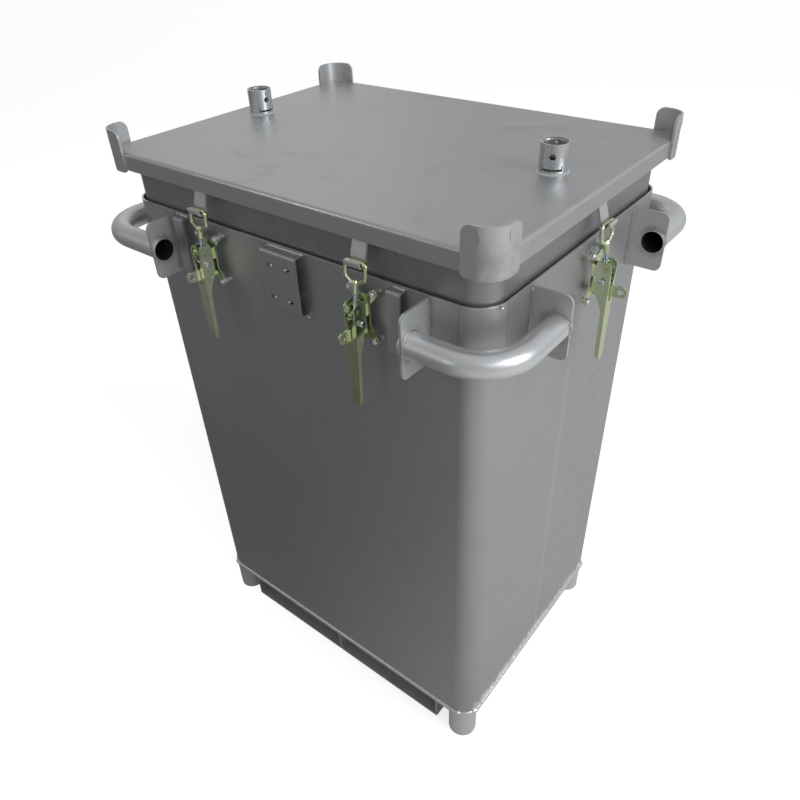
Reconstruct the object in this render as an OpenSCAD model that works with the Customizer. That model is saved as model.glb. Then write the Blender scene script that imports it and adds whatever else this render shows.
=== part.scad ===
// Stainless steel transport box with a lift-off lid and six toggle latches.
// Millimetres, +Z up, front face towards -Y. The origin is the middle of the
// footprint at the height of the floor that the four feet stand on.

/* [Lid] */
// Length of the lid rim along X, the long side of a half pallet
lid_len = 800; // [760:10:1200]
// Width of the lid rim along Y, the short side of a half pallet
lid_width = 600; // [560:10:800]
// Height of the folded rim
rim_h = 30; // [22:1:45]
// Outer radius of the rim's upright corners
rim_corner_r = 30; // [20:1:45]
// Outer radius of the bend between the lid's top and its rim
rim_bend_r = 6; // [4.5:0.5:12]
// Sheet of the lid's top and rim
lid_sheet = 3; // [2:0.5:4]
// Height from the skirt's lower edge to the lid's top face
lid_h = 116; // [90:2:180]
// Sheet of the lid's skirt
skirt_sheet = 2.5; // [2:0.5:3]

/* [Body] */
// Height of the body wall above the floor plate
body_h = 962; // [500:2:1300]
// Overhang of the lid rim over the body wall
rim_overhang = 22; // [18:0.5:30]
// Sheet of the body wall
wall_sheet = 3; // [2:0.5:4]
// Outer radius of the body's upright corners
body_corner_r = 40; // [30:1:60]
// Width of the inward flange at the top of the body and the foot of the skirt
flange_w = 22; // [14:1:35]
// Height of the gasket, pressed between the two flanges
gasket_h = 4; // [2:0.5:8]
// Width of the gasket
gasket_w = 14; // [6:1:20]

/* [Collar] */
// Height of the collar band around the joint
collar_h = 112; // [105:1:160]
// Sheet of the collar band
collar_sheet = 3; // [2:0.5:4]
// Gap between the body wall and the collar band, where the skirt drops in
collar_gap = 5; // [3:0.5:8]
// How far the skirt reaches down inside the collar band
skirt_overlap = 28; // [15:1:45]

/* [Base] */
// Height of the body wall's lower edge above the ground
base_h = 90; // [80:1:160]
// Thickness of the floor plate
floor_sheet = 4; // [2:0.5:6]
// Ledge of the floor plate outside the wall, for the weld
floor_ledge = 4; // [2:0.5:6]
// Outer diameter of the tube feet
foot_d = 60.3; // [42.4:0.1:76.1]
// Wall of the tube feet
foot_wall = 3; // [2:0.5:4]
// Thickness of the foot plates
foot_plate_t = 4; // [3:0.5:8]
// Distance along X of the feet's outer edge inside the body wall
foot_inset_x = 3; // [0:0.5:10]
// Distance along Y of the feet's outer edge inside the body wall
foot_inset_y = 0; // [0:0.5:10]
// Gap along X between the fork pockets and the feet
pocket_gap = 24.7; // [10:0.1:60]
// Sheet of the fork pockets
pocket_sheet = 4; // [3:0.5:6]
// Height of the fork pockets' underside above the ground
pocket_lift = 3; // [1:0.5:10]
// Half of the slit between the two fork pockets
pocket_slit = 1; // [0.5:0.5:4]
// Setback of the fork pockets' ends behind the body wall
pocket_setback = 8; // [0:1:30]

/* [Handles] */
// Outer diameter of the handle tube
handle_d = 40; // [33.7:0.1:42.4]
// Wall of the handle tube
handle_wall = 1.5; // [1.2:0.1:3]
// Distance of the tube's centre line from the collar's face
handle_reach = 42; // [40:1:60]
// Bend radius of the tube's centre line
handle_bend_r = 75; // [60:1:85]
// Distance along X of the front left and rear right handle plates from the middle
handle_wide_x = 259; // [252:1:290]
// Distance along X of the front right and rear left handle plates from the middle
handle_short_x = 287; // [252:1:290]
// Distance along Y of the side handle plates from the middle
handle_y = 172; // [150:1:180]
// Height of a handle plate
handle_plate_h = 104; // [80:1:110]
// Thickness of a handle plate
handle_plate_t = 4; // [3:0.5:6]
// Width of a handle plate beyond the tube's centre line
handle_plate_edge = 20; // [14:1:25]
// Corner radius of a handle plate
handle_plate_r = 12; // [5:1:14]
// Length of tube that stands out behind its plate
handle_stub = 5; // [3:1:12]

/* [Corner guides] */
// Length of each leg of a corner guide
guide_leg = 50; // [46:1:70]
// Height of a corner guide above the lid's top face
guide_rise = 36; // [20:1:60]
// Depth of a corner guide below the rim's lower edge
guide_drop = 4.5; // [0:0.5:15]
// Sheet of the corner guides
guide_sheet = 4; // [3:0.5:6]
// Radius of a corner guide's free corners
guide_r = 14; // [6:1:16]

/* [Latch places] */
// Distance between the two latches of a long side
latch_pitch = 340; // [300:5:360]
// Offset of the front and rear latches from the middle of their side
latch_shift = 11; // [0:1:12]
// Offset of the end latches from the middle of their side
latch_end_shift = 4; // [0:1:12]

/* [Latch base] */
// Spacing of the weld studs along the wall
stud_pitch_w = 44; // [44:1:50]
// Spacing of the weld studs in height
stud_pitch_z = 78; // [76:1:90]
// Diameter of the weld studs
stud_d = 6; // [5:0.5:6]
// Distance of the latch base plate from the collar's face
base_standoff = 12; // [10:0.5:13]
// Radius of the base plate's ears around the weld studs
base_ear_r = 6.3; // [6:0.1:8]
// Thickness of the latch base, its lugs included
base_sheet = 2.5; // [2:0.5:3]
// Distance of the main pivot from the collar's face
pivot_out = 34.5; // [33:0.5:38]
// Height of the main pivot above the middle of the collar
pivot_up = 14; // [12:0.5:18]
// Diameter of the main pivot's tubular rivets
pivot_d = 6; // [5:0.5:7]
// Distance of the padlock eye from the collar's face
eye_out = 61; // [58:0.5:66]
// Depth of the padlock eye below the middle of the collar
eye_down = 19; // [17:0.5:22]
// Diameter of the padlock hole
eye_d = 9; // [7:0.5:10]
// Thickness of the padlock tab
eye_sheet = 3; // [2:0.5:3]

/* [Latch lever] */
// Outer width of the lever channel at the pivot
lever_w = 22; // [22:0.5:26]
// Outer width of the lever at its tip
lever_tip_w = 16; // [12:0.5:20]
// Sheet of the lever channel
lever_sheet = 2; // [1.5:0.5:2.5]
// Distance of the lever's web from the collar's face
lever_out = 44; // [43.5:0.5:50]
// Length of the lever from its top end to its tip
lever_len = 175; // [150:1:200]
// Height of the lever's top end above the main pivot
lever_head = 14; // [12:0.5:16]
// Radius of the flanges' outer corner at the lever's head
lever_head_r = 8; // [3:0.5:10]
// Depth of the lever's wide flanges
lever_flange = 24; // [20:0.5:26]
// Depth of the lever's narrow flanges, along the grip
lever_grip_flange = 7; // [5:0.5:10]

/* [Latch bow] */
// Drop of the trunnion below the main pivot
trunnion_drop = 18; // [16:0.5:19]
// Distance of the trunnion inside the main pivot, its over-centre set
trunnion_in = 2; // [1:0.25:3]
// Diameter of the trunnion
trunnion_d = 7; // [6:0.5:7.5]
// Diameter of the trunnion's riveted heads
trunnion_head_d = 10; // [9:0.5:11]
// Height of the trunnion's riveted heads
trunnion_head_h = 5; // [2:0.5:6]
// Diameter of the threaded stem
stem_d = 6; // [5:0.5:6]
// Outer width of the bow
bow_w = 44; // [42:0.5:48]
// Wire of the bow
bow_wire = 7; // [5:0.5:7]
// Distance of the bow's bar from the collar's face
bar_out = 22.5; // [22:0.5:24]
// Height of the bow's bar above the middle of the collar
bar_up = 86; // [84:0.5:90]
// Radius of the bow's upper corners
bow_corner_r = 5.5; // [4:0.5:6]
// Length of the ferrule that takes the stem
ferrule_len = 16; // [14:1:18]
// Distance of the ferrule's lower end from the trunnion
ferrule_from = 44; // [40:1:48]
// Solid length at the ferrule's upper end, where the wire's legs enter
ferrule_plug = 7; // [6:0.5:9]
// Straight length of the bow's sides
bow_side = 14; // [8:0.5:16]

/* [Latch hook] */
// Width of a hook strip on the lid
hook_w = 26; // [20:0.5:26]
// Sheet of a hook strip
hook_sheet = 4; // [3:0.5:4]
// Inner radius of the hook, wider than the bar, so that the bar can lift out
hook_r = 5.4; // [5.2:0.1:6]
// Shift of the hook's middle outwards from the bar
hook_shift = 0.8; // [0.6:0.1:1.2]
// Free play under the bar in the hook
hook_play = 0.75; // [0.6:0.05:1]
// Height of the hook's lip above the middle of its curl
hook_lip = 1.5; // [0.5:0.25:2.5]

/* [Front brackets] */
// Width of the slotted bracket
bracket_w = 77; // [70:1:90]
// Height of the slotted bracket and of the strap loops
bracket_h = 104; // [90:1:104]
// Distance of the bracket's face from the collar
bracket_out = 17; // [14:0.5:24]
// Sheet of the bracket and the strap loops
bracket_sheet = 3; // [2:0.5:4]
// Spacing of the slots along the wall
slot_pitch_w = 37.5; // [36:0.5:44]
// Spacing of the slots in height
slot_pitch_z = 56; // [40:1:64]
// Length of a slot from end to end
slot_len = 13; // [11:0.5:14]
// Width of a slot
slot_w = 6.6; // [5.5:0.1:8]
// Diameter of the studs behind the slots
bracket_stud_d = 5; // [4:0.5:5]
// Spacing of these studs along the wall
bracket_stud_pitch = 31; // [30:0.5:32]
// Width of a strap loop
loop_w = 25; // [20:1:30]
// Clearance between the left strap loop and the handle plate beside it
loop_gap = 7.5; // [6.5:0.5:12]
// Distance along X of the right strap loop's middle from its latch's
loop_from_latch = 56; // [54:1:60]
// Distance of a strap loop's face from the collar
loop_out = 14; // [12:0.5:18]

/* [Vents] */
// Outer diameter of a vent
vent_d = 45; // [38:1:60]
// Height of a vent above the lid
vent_h = 45; // [42:1:70]
// Wall of a vent
vent_wall = 3; // [2:0.5:4]
// Distance of the left vent's middle from the lid's left end
vent_left_in = 66; // [64:1:140]
// Distance of the right vent's middle from the lid's right end
vent_right_in = 92; // [64:1:140]
// Turn of the left vent's cross hole about its axis
vent_left_turn = 80; // [0:1:180]
// Turn of the right vent's cross hole about its axis
vent_right_turn = 21; // [0:1:180]
// Place of both vents along Y
vent_y = 10; // [-40:1:40]
// Diameter of a vent's cross hole
vent_hole_d = 10; // [6:0.5:12]
// Width of the weld flange around a vent's foot
vent_flange_w = 3.5; // [2:0.5:6]
// Height of a vent's base slot
vent_slot_h = 3.5; // [2.5:0.5:5]
// Height of the base slots' lower edge above the lid
vent_slot_up = 5.5; // [3:0.5:6]
// Half of the angle that a base slot spans
vent_slot_turn = 40; // [30:1:50]
// Height of the step that the valve disc sits on, above the lid
vent_seat_up = 14; // [13:0.5:18]
// Width of that step
vent_seat_w = 1.5; // [1:0.25:2]
// Depth of the wider mouth at a vent's top
vent_mouth = 3; // [2:0.5:4]

/* [Clearances] */
// Radial clearance of a rivet or trunnion in its hole
pin_fit = 0.05; // [0.02:0.01:0.08]
// Side clearance between the moving latch plates
side_fit = 0.4; // [0.3:0.05:0.6]
// Gap between the gasket and the body's flange
seal_fit = 0.3; // [0.2:0.05:0.5]
// Radial gap between a handle tube and the hole in its plate
weld_fit = 0.15; // [0.05:0.05:0.3]

/* [Hidden] */
$fn = 64;
eps = 0.01;

// Heights
body_top_z = base_h + body_h;
skirt_bottom_z = body_top_z + gasket_h;
lid_top_z = skirt_bottom_z + lid_h;
rim_bottom_z = lid_top_z - rim_h;
collar_top_z = skirt_bottom_z + skirt_overlap;
collar_z = collar_top_z - collar_h / 2;
floor_z = base_h - floor_sheet;

// Plan sizes
body_len = lid_len - 2 * rim_overhang;
body_width = lid_width - 2 * rim_overhang;
collar_step = collar_gap + collar_sheet;
collar_len = body_len + 2 * collar_step;
collar_width = body_width + 2 * collar_step;
collar_corner_r = body_corner_r + collar_step;
pocket_w = body_len / 2 - foot_inset_x - foot_d - pocket_gap - pocket_slit;
loop_left_x = -handle_wide_x + handle_plate_t / 2 + loop_gap + loop_w / 2;
loop_right_x = latch_shift + latch_pitch / 2 + loop_from_latch;
vent_left_x = -lid_len / 2 + vent_left_in;
vent_right_x = lid_len / 2 - vent_right_in;

// Places of the latches: turn about Z, offset along the wall, half of the collar there
latch_sites = [
    [0, latch_shift - latch_pitch / 2, collar_width / 2],
    [0, latch_shift + latch_pitch / 2, collar_width / 2],
    [180, latch_shift - latch_pitch / 2, collar_width / 2],
    [180, latch_shift + latch_pitch / 2, collar_width / 2],
    [90, latch_end_shift, collar_len / 2],
    [270, latch_end_shift, collar_len / 2]
];

// Latch stations, measured out from the collar and up from its middle
lug_in = 6.5;
lug_out = lug_in + base_sheet - 0.5;
lever_in_w = lug_out + side_fit;
trunnion_out = pivot_out - trunnion_in;
trunnion_up = pivot_up - trunnion_drop;
bow_len = sqrt(pow(trunnion_out - bar_out, 2) + pow(bar_up - trunnion_up, 2));
bow_lean = atan2(trunnion_out - bar_out, bar_up - trunnion_up);
lever_top_up = pivot_up + lever_head;
lever_tip_up = lever_top_up - lever_len;
hook_mid_out = bar_out + hook_shift;
hook_mid_up = bar_up - bow_wire / 2 - hook_play + hook_r;
rim_in_out = lid_len / 2 - lid_sheet - collar_len / 2;
rim_up = rim_bottom_z - collar_z;

steel = [0.62, 0.63, 0.64];
zinc_yellow = [0.76, 0.71, 0.42];
zinc_blue = [0.66, 0.72, 0.76];

// Plan outline of a rounded rectangle
module round_rect(l, w, r) {
    square([l - 2 * r, w], center = true);
    square([l, w - 2 * r], center = true);
    for (x = [-1, 1], y = [-1, 1])
        translate([x * (l / 2 - r), y * (w / 2 - r)]) circle(r);
}

// Runs a section round a rounded rectangle. The section's x is the distance
// from the corner's centre, so that x = r lies on the outer face.
module run_round(l, w, r) {
    for (i = [0:3]) {
        long_run = i % 2 == 0 ? l : w;
        across = i % 2 == 0 ? w : l;
        rotate(90 * i) {
            translate([long_run / 2 - r, across / 2 - r]) rotate_extrude(angle = 90) children();
            translate([-(long_run / 2 - r), across / 2 - r, 0])
                rotate([90, 0, 90]) linear_extrude(long_run - 2 * r) children();
        }
    }
}

// Turns a section drawn in (out, up) so that it is extruded along the wall
module along_wall(width) {
    rotate([90, 0, -90]) linear_extrude(width, center = true) children();
}

// Turns an outline drawn in (along, up) so that it is extruded outwards
module outwards(from, to) {
    translate([0, -from, 0]) rotate([90, 0, 0]) linear_extrude(to - from) children();
}

// Body

module body_shell() {
    color(steel) run_round(body_len, body_width, body_corner_r) {
        translate([body_corner_r - wall_sheet, base_h]) square([wall_sheet, body_h]);
        translate([body_corner_r - flange_w, body_top_z - wall_sheet]) square([flange_w, wall_sheet]);
    }
}

module floor_plate() {
    grow = 2 * floor_ledge;
    color(steel) translate([0, 0, floor_z]) linear_extrude(floor_sheet)
        round_rect(body_len + grow, body_width + grow, body_corner_r + floor_ledge);
}

module collar_band() {
    color(steel) run_round(collar_len, collar_width, collar_corner_r) {
        translate([collar_corner_r - collar_sheet, collar_top_z - collar_h]) square([collar_sheet, collar_h]);
        translate([collar_corner_r - collar_step, collar_top_z - collar_h]) square([collar_step, collar_sheet]);
    }
}

// One fork pocket is a channel under the floor plate, open to the front and rear
module fork_pocket(side) {
    run = body_width - 2 * pocket_setback;
    rise = floor_z - pocket_lift;
    color(steel) translate([side * (pocket_slit + pocket_w / 2), 0, pocket_lift]) difference() {
        translate([-pocket_w / 2, -run / 2, 0]) cube([pocket_w, run, rise]);
        translate([-pocket_w / 2 + pocket_sheet, -run / 2 - 1, pocket_sheet])
            cube([pocket_w - 2 * pocket_sheet, run + 2, rise]);
    }
}

module at_foot(x, y) {
    foot_x = body_len / 2 - foot_inset_x - foot_d / 2;
    foot_y = body_width / 2 - foot_inset_y - foot_d / 2;
    translate([x * foot_x, y * foot_y, 0]) children();
}

module foot(x, y) {
    color(steel) at_foot(x, y) translate([0, 0, foot_plate_t]) difference() {
        cylinder(d = foot_d, h = floor_z - foot_plate_t);
        translate([0, 0, -1]) cylinder(d = foot_d - 2 * foot_wall, h = floor_z - foot_plate_t + 2);
    }
}

module foot_plates() {
    bevel = foot_plate_t / 3;
    color(steel) for (x = [-1, 1], y = [-1, 1]) at_foot(x, y) {
        cylinder(d1 = foot_d - 2 * bevel, d2 = foot_d, h = bevel);
        translate([0, 0, bevel]) cylinder(d = foot_d, h = foot_plate_t - bevel);
    }
}

// Handles

// The bent tube of one corner, drawn for the front right corner, with its long plate at at_x
module handle_bar(at_x, d, over) {
    cx = collar_len / 2 + handle_reach;
    cy = collar_width / 2 + handle_reach;
    from_x = at_x - handle_plate_t / 2 - handle_stub - over;
    from_y = handle_y - handle_plate_t / 2 - handle_stub - over;
    translate([from_x, -cy, 0]) rotate([0, 90, 0]) cylinder(d = d, h = cx - handle_bend_r - from_x);
    translate([cx - handle_bend_r, -cy + handle_bend_r, 0]) rotate([0, 0, -90])
        rotate_extrude(angle = 90) translate([handle_bend_r, 0]) circle(d = d);
    translate([cx, -cy + handle_bend_r, 0]) rotate([-90, 0, 0])
        cylinder(d = d, h = cy - handle_bend_r - from_y);
}

module handle(x, y, at_x) {
    color(steel) mirror([x, 0, 0]) mirror([0, y, 0]) translate([0, 0, collar_z]) difference() {
        handle_bar(at_x, handle_d, 0);
        handle_bar(at_x, handle_d - 2 * handle_wall, 1);
    }
}

// Plate in (out, up), its outer corners rounded, with the hole for the tube
module handle_plate_outline() {
    w = handle_reach + handle_plate_edge;
    h = handle_plate_h;
    r = handle_plate_r;
    difference() {
        union() {
            translate([0, -h / 2]) square([w - r, h]);
            translate([0, -h / 2 + r]) square([w, h - 2 * r]);
            for (s = [-1, 1]) translate([w - r, s * (h / 2 - r)]) circle(r);
        }
        translate([handle_reach, 0]) circle(d = handle_d + 2 * weld_fit);
    }
}

module handle_plates(x, y, at_x) {
    color(steel) mirror([x, 0, 0]) mirror([0, y, 0]) translate([0, 0, collar_z]) {
        translate([at_x, -collar_width / 2, 0]) along_wall(handle_plate_t) handle_plate_outline();
        rotate(90) translate([-handle_y, -collar_len / 2, 0])
            along_wall(handle_plate_t) handle_plate_outline();
    }
}

// Front brackets

// Channel section of a bracket in (out, up): a face on two flanges, its bends round outside
module bracket_section(out) {
    h = bracket_h;
    r = 2 * bracket_sheet;
    difference() {
        union() {
            square([out - r, h]);
            translate([0, r]) square([out, h - 2 * r]);
            for (z = [r, h - r]) translate([out - r, z]) circle(r);
        }
        translate([-1, bracket_sheet]) square([out - r + 1, h - 2 * bracket_sheet]);
        translate([-1, r]) square([out - bracket_sheet + 1, h - 2 * r]);
        for (z = [r, h - r]) translate([out - r, z]) circle(r - bracket_sheet);
    }
}

module slot_outline() {
    straight = slot_len - slot_w;
    square([straight, slot_w], center = true);
    for (s = [-1, 1]) translate([s * straight / 2, 0]) circle(d = slot_w);
}

module slotted_bracket() {
    color(steel) translate([latch_shift, -collar_width / 2, collar_z]) difference() {
        translate([0, 0, -bracket_h / 2]) along_wall(bracket_w) bracket_section(bracket_out);
        for (x = [-1, 1], z = [-1, 1]) translate([x * slot_pitch_w / 2, 0, z * slot_pitch_z / 2])
            outwards(bracket_out - bracket_sheet - 1, bracket_out + 1) slot_outline();
    }
}

module bracket_studs() {
    color(steel) translate([latch_shift, -collar_width / 2, collar_z])
        for (x = [-1, 1], z = [-1, 1])
            translate([x * bracket_stud_pitch / 2, 0, z * slot_pitch_z / 2]) rotate([90, 0, 0]) {
                cylinder(d = bracket_stud_d, h = bracket_out - 0.5);
                cylinder(d = bracket_stud_d + 3, h = 2);
                translate([0, 0, bracket_out - 0.5]) intersection() {
                    sphere(d = bracket_stud_d);
                    cylinder(d = bracket_stud_d + 1, h = bracket_stud_d);
                }
            }
}

module strap_loop(at_x) {
    color(steel) translate([at_x, -collar_width / 2, collar_z - bracket_h / 2])
        along_wall(loop_w) bracket_section(loop_out);
}

// Latches

// Puts a latch that is drawn in front of the collar at place i
module at_latch(i) {
    rotate(latch_sites[i][0]) translate([latch_sites[i][1], -latch_sites[i][2], collar_z]) children();
}

module at_studs() {
    for (x = [-1, 1], z = [-1, 1])
        translate([x * stud_pitch_w / 2, 0, z * stud_pitch_z / 2]) rotate([90, 0, 0]) children();
}

module latch_studs() {
    color(steel) for (i = [0:5]) at_latch(i) at_studs() {
        cylinder(d = stud_d, h = base_standoff + base_sheet + 3.5);
        cylinder(d = stud_d + 4, h = 2);
    }
}

// A plain nut behind each corner of the base plate and a cap nut in front of it
module latch_nuts() {
    nut_af = 10;
    nut_d = nut_af / cos(30);
    hole = stud_d + 2 * pin_fit;
    color(steel) for (i = [0:5]) at_latch(i) at_studs() {
        translate([0, 0, base_standoff - 5]) difference() {
            cylinder(d = nut_d, h = 5, $fn = 6);
            translate([0, 0, -1]) cylinder(d = hole, h = 7);
        }
        translate([0, 0, base_standoff + base_sheet]) difference() {
            union() {
                cylinder(d = nut_d, h = 4, $fn = 6);
                translate([0, 0, 2.5]) intersection() {
                    sphere(d = nut_af - 1);
                    cylinder(d = nut_af, h = nut_af);
                }
            }
            translate([0, 0, -1]) cylinder(d = hole, h = 4.6);
        }
    }
}

// Outline of the base plate in (along, up): a middle plate with a slanting arm to a round ear at each stud
module base_outline() {
    half_w = lug_out + 4;
    half_h = stud_pitch_z / 2 - 6;
    x = stud_pitch_w / 2;
    z = stud_pitch_z / 2;
    arm = base_ear_r * sqrt(0.5);
    square([2 * half_w, 2 * half_h], center = true);
    for (m = [0, 1], n = [0, 1]) mirror([m, 0]) mirror([0, n]) {
        translate([x, z]) circle(base_ear_r);
        polygon([[0, half_h - 12], [half_w, half_h - 16], [x + arm, z - arm],
            [x - arm, z + arm], [4, half_h - 2]]);
    }
}

// Outline of a pivot lug in (out, up)
module lug_outline() {
    foot_out = base_standoff + base_sheet / 2;
    eye_r = pivot_d / 2 + 3.5;
    polygon([[foot_out, pivot_up - 15], [pivot_out + 2, pivot_up - eye_r + 0.4],
        [pivot_out - 2, pivot_up + eye_r - 0.4], [foot_out, pivot_up + 5]]);
    translate([pivot_out, pivot_up]) circle(eye_r);
}

// Outline of the padlock tab in (out, up)
module tab_outline() {
    foot_out = base_standoff + base_sheet / 2;
    eye_r = eye_d / 2 + 5;
    polygon([[foot_out, -eye_down + 5], [eye_out - 2, -eye_down + eye_r - 0.3],
        [eye_out - 2, -eye_down - eye_r + 0.3], [foot_out, -eye_down - 14]]);
    translate([eye_out, -eye_down]) circle(eye_r);
}

module latch_base(i) {
    lug_mid = (lug_in + lug_out) / 2;
    color(zinc_yellow) at_latch(i) difference() {
        union() {
            outwards(base_standoff, base_standoff + base_sheet) base_outline();
            for (s = [-1, 1]) translate([s * lug_mid, 0, 0]) along_wall(lug_out - lug_in) lug_outline();
            along_wall(eye_sheet) tab_outline();
        }
        at_studs() cylinder(d = stud_d + 0.6, h = base_standoff + base_sheet + 1);
        translate([0, -pivot_out, pivot_up]) rotate([0, 90, 0])
            cylinder(d = pivot_d + 2 * pin_fit, h = 2 * lug_out + 2, center = true);
        translate([0, -eye_out, -eye_down]) rotate([0, 90, 0])
            cylinder(d = eye_d, h = eye_sheet + 2, center = true);
    }
}

// Two tubular rivets carry a lever, so that the stem can pass between them
module latch_rivets() {
    from = lug_in - 1;
    to = lever_w / 2 + side_fit + 1;
    color(zinc_yellow) for (i = [0:5], s = [0, 1]) at_latch(i) translate([0, -pivot_out, pivot_up])
        mirror([s, 0, 0]) rotate([0, 90, 0]) difference() {
            union() {
                translate([0, 0, from]) cylinder(d = pivot_d, h = to - from);
                translate([0, 0, from]) cylinder(d = pivot_d + 2.4, h = 0.9);
                translate([0, 0, to - 0.9]) cylinder(d = pivot_d + 2.4, h = 0.9);
            }
            translate([0, 0, from - 1]) cylinder(d = pivot_d / 2, h = to - from + 2);
        }
}

// Lever outline in (along, up), narrower by edge on each side
module lever_outline(edge, over) {
    w = lever_w / 2 - edge;
    t = lever_tip_w / 2 - edge;
    grip_up = -eye_down - 36;
    chamfer = edge == 0 ? 3 : 0;
    polygon([[-w, lever_top_up + over], [w, lever_top_up + over], [w, grip_up],
        [t, lever_tip_up - over + chamfer], [t - chamfer, lever_tip_up - over],
        [-t + chamfer, lever_tip_up - over], [-t, lever_tip_up - over + chamfer], [-w, grip_up]]);
}

// Lever flange in (out, up): rounded at its head, deep at the pivot, narrow along the grip
module lever_flange_outline() {
    deep = lever_out - lever_flange;
    grip = lever_out - lever_grip_flange;
    difference() {
        polygon([[deep + 3, lever_top_up], [lever_out, lever_top_up], [lever_out, lever_tip_up],
            [lever_out - 2.5, lever_tip_up], [grip, lever_tip_up + 8], [grip, -eye_down - 36],
            [deep + 9, -eye_down - 18], [deep, -eye_down - 8], [deep, lever_top_up - 3]]);
        translate([lever_out - lever_head_r, lever_top_up - lever_head_r]) difference() {
            square(lever_head_r + 1);
            circle(lever_head_r);
        }
    }
}

// Opening of the web in (along, up): a V for the stem that runs into a slot for the padlock tab
module web_opening() {
    slot = eye_sheet / 2 + 1.2;
    reach = norm([eye_out - pivot_out, eye_down + pivot_up]) + eye_d / 2 + 6.5;
    slot_low = pivot_up - sqrt(pow(reach, 2) - pow(lever_out - pivot_out, 2));
    vee = lever_w / 2 - lever_sheet;
    polygon([[-vee, lever_top_up + 1], [vee, lever_top_up + 1], [vee, pivot_up - 4],
        [slot, trunnion_up - 7], [slot, slot_low], [-slot, slot_low], [-slot, trunnion_up - 7],
        [-vee, pivot_up - 4]]);
}

module lever(i) {
    color(zinc_yellow) at_latch(i) difference() {
        intersection() {
            along_wall(lever_w + 2) lever_flange_outline();
            outwards(0, lever_out + 1) lever_outline(0, 0);
        }
        outwards(-1, lever_out - lever_sheet) lever_outline(lever_sheet, 5);
        outwards(lever_out - lever_sheet - 1, lever_out + 1) web_opening();
        translate([0, -pivot_out, pivot_up]) rotate([0, 90, 0])
            cylinder(d = pivot_d + 2 * pin_fit, h = lever_w + 2, center = true);
        translate([0, -trunnion_out, trunnion_up]) rotate([0, 90, 0])
            cylinder(d = trunnion_d + 2 * pin_fit, h = lever_w + 2, center = true);
    }
}

// Puts a part drawn along +Z from the trunnion onto the line to the bow's bar
module on_bow_line(i) {
    at_latch(i) translate([0, -trunnion_out, trunnion_up]) rotate([-bow_lean, 0, 0]) children();
}

// Trunnion with its two riveted heads, and the threaded stem that is screwed through it
module stem(i) {
    head_from = lever_w / 2 + side_fit;
    bevel = 1.2;
    color(zinc_blue) on_bow_line(i) {
        translate([0, 0, -6]) cylinder(d = stem_d, h = ferrule_from + ferrule_len - ferrule_plug + 5.5);
        rotate([0, 90, 0]) cylinder(d = trunnion_d, h = 2 * head_from + 2, center = true);
        for (s = [0, 1]) mirror([s, 0, 0]) translate([head_from, 0, 0]) rotate([0, 90, 0]) {
            cylinder(d = trunnion_head_d, h = trunnion_head_h - bevel);
            translate([0, 0, trunnion_head_h - bevel])
                cylinder(d1 = trunnion_head_d, d2 = trunnion_head_d - 2 * bevel, h = bevel);
        }
    }
}

// Bow: a wire bent to a D, its two legs drawn together into the ferrule. Each
// leg runs from the knee bend on a tangent to its foot inside the ferrule.
module bow(i) {
    r = bow_wire / 2;
    half = bow_w / 2 - r;
    c = bow_corner_r;
    neck = ferrule_from + ferrule_len;
    knee = [half - c, bow_len - c - bow_side];
    to_foot = [1.5, neck - ferrule_plug / 2] - knee;
    turn = -(atan2(to_foot.y, to_foot.x) + acos(c / norm(to_foot)));
    leg_len = sqrt(pow(norm(to_foot), 2) - c * c);
    leg_neck = 0.1;
    leg_in = 0.6;
    color(zinc_yellow) on_bow_line(i) difference() {
        union() {
            translate([0, 0, bow_len]) rotate([0, 90, 0])
                cylinder(r = r, h = 2 * (half - c), center = true);
            for (s = [0, 1]) mirror([s, 0, 0]) {
                translate([half - c, 0, bow_len - c]) rotate([90, 0, 0])
                    rotate_extrude(angle = 90) translate([c, 0]) circle(r);
                translate([half, 0, knee.y]) cylinder(r = r, h = bow_side);
                translate([knee.x, 0, knee.y]) rotate([90, 0, 0]) mirror([0, 1, 0])
                    rotate_extrude(angle = turn) translate([c, 0]) circle(r);
                translate([knee.x + c * cos(turn), 0, knee.y - c * sin(turn)]) rotate([0, 180 + turn, 0])
                    translate([0, 0, -leg_in]) cylinder(r = r - leg_neck, h = leg_len + leg_in);
            }
            translate([0, 0, ferrule_from]) cylinder(d = stem_d + 4.5, h = ferrule_len);
            translate([0, 0, neck]) cylinder(d1 = stem_d + 4.5, d2 = bow_wire, h = 4);
        }
        translate([0, 0, ferrule_from - 1])
            cylinder(d = stem_d + 2 * pin_fit, h = ferrule_len - ferrule_plug + 1);
    }
}

// Lid

// Lid top and rim in one folded sheet
module lid_pan() {
    r = rim_corner_r;
    b = rim_bend_r;
    color(steel) translate([0, 0, rim_bottom_z]) {
        run_round(lid_len, lid_width, r) {
            translate([0, rim_h - lid_sheet]) square([r - b, lid_sheet]);
            translate([r - lid_sheet, 0]) square([lid_sheet, rim_h - b]);
            translate([r - b, rim_h - b]) intersection() {
                difference() {
                    circle(b);
                    circle(b - lid_sheet);
                }
                square(b);
            }
        }
        translate([0, 0, rim_h - lid_sheet / 2])
            cube([lid_len - 2 * r, lid_width - 2 * r, lid_sheet], center = true);
    }
}

module lid_skirt() {
    r = body_corner_r;
    color(steel) run_round(body_len, body_width, r) {
        translate([r - skirt_sheet, skirt_bottom_z]) square([skirt_sheet, lid_h - lid_sheet]);
        translate([r - flange_w, skirt_bottom_z]) square([flange_w, skirt_sheet]);
    }
}

module lid_gasket() {
    edge = (flange_w - gasket_w) / 2;
    color([0.1, 0.1, 0.1]) run_round(body_len, body_width, body_corner_r)
        translate([body_corner_r - edge - gasket_w, body_top_z + seal_fit])
            square([gasket_w, gasket_h - seal_fit]);
}

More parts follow.
